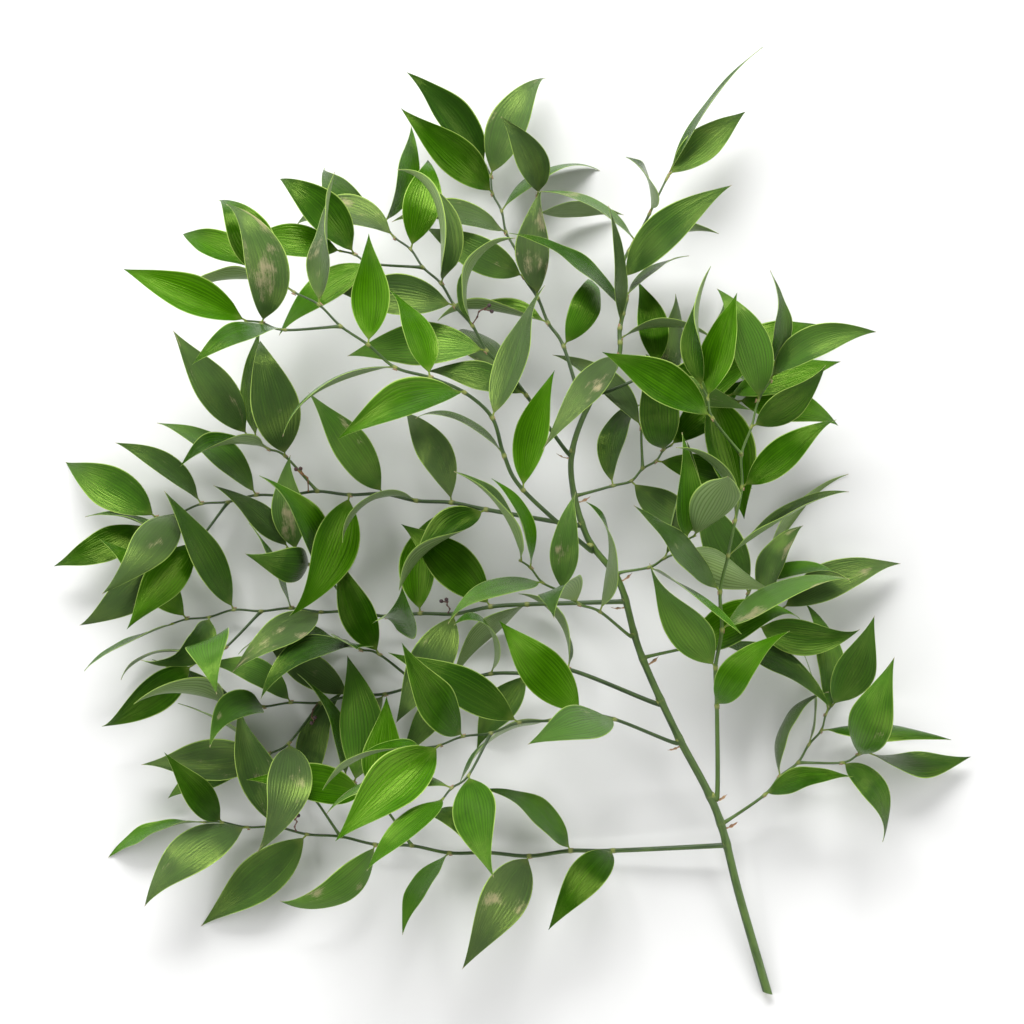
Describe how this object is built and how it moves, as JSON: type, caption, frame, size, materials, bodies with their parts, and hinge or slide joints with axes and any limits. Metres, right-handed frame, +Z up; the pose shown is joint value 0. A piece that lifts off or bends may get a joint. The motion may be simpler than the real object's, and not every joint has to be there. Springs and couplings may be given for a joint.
{
  "type": "cut fresh soft ruscus stem",
  "caption": "Cut stem of glossy green soft ruscus laid on a surface: leafy side sprays, papery bracts and dried flower stalks.",
  "frame": {"origin": "on the surface that the stem lies on, under the middle of its bounding box", "axes": "+Z up from the surface; +Y from the cut end towards the leafy tip; +X to the right seen from above"},
  "size_m": [0.5405, 0.5563, 0.136],
  "materials": {
    "leaf_green": "satin",
    "stem_green": "satin",
    "bract_brown": "matte",
    "stalk_brown": "matte"
  },
  "bodies": {
    "root": {"dried_flower_stalk_1": "stalk_brown", "dried_flower_stalk_2": "stalk_brown", "dried_flower_stalk_3": "stalk_brown", "dried_flower_stalk_4": "stalk_brown", "dried_flower_stalk_5": "stalk_brown", "main_stem": "stem_green", "papery_bract_02": "bract_brown", "papery_bract_03": "bract_brown", "papery_bract_04": "bract_brown", "papery_bract_06": "bract_brown", "papery_bract_08": "bract_brown", "papery_bract_09": "bract_brown", "papery_bract_12": "bract_brown", "papery_bract_13": "bract_brown", "spray_01_left": "leaf_green", "spray_02_right": "leaf_green", "spray_03_right": "leaf_green", "spray_04_left": "leaf_green", "spray_05_left": "leaf_green", "spray_06_right": "leaf_green", "spray_07_left": "leaf_green", "spray_08_left": "leaf_green", "spray_09_right": "leaf_green", "spray_10_left": "leaf_green", "spray_11_left": "leaf_green", "spray_12_right": "leaf_green", "spray_13_left": "leaf_green", "spray_14_left": "leaf_green", "spray_15_right": "leaf_green", "spray_16_tip": "leaf_green"}
  },
  "joints": []
}
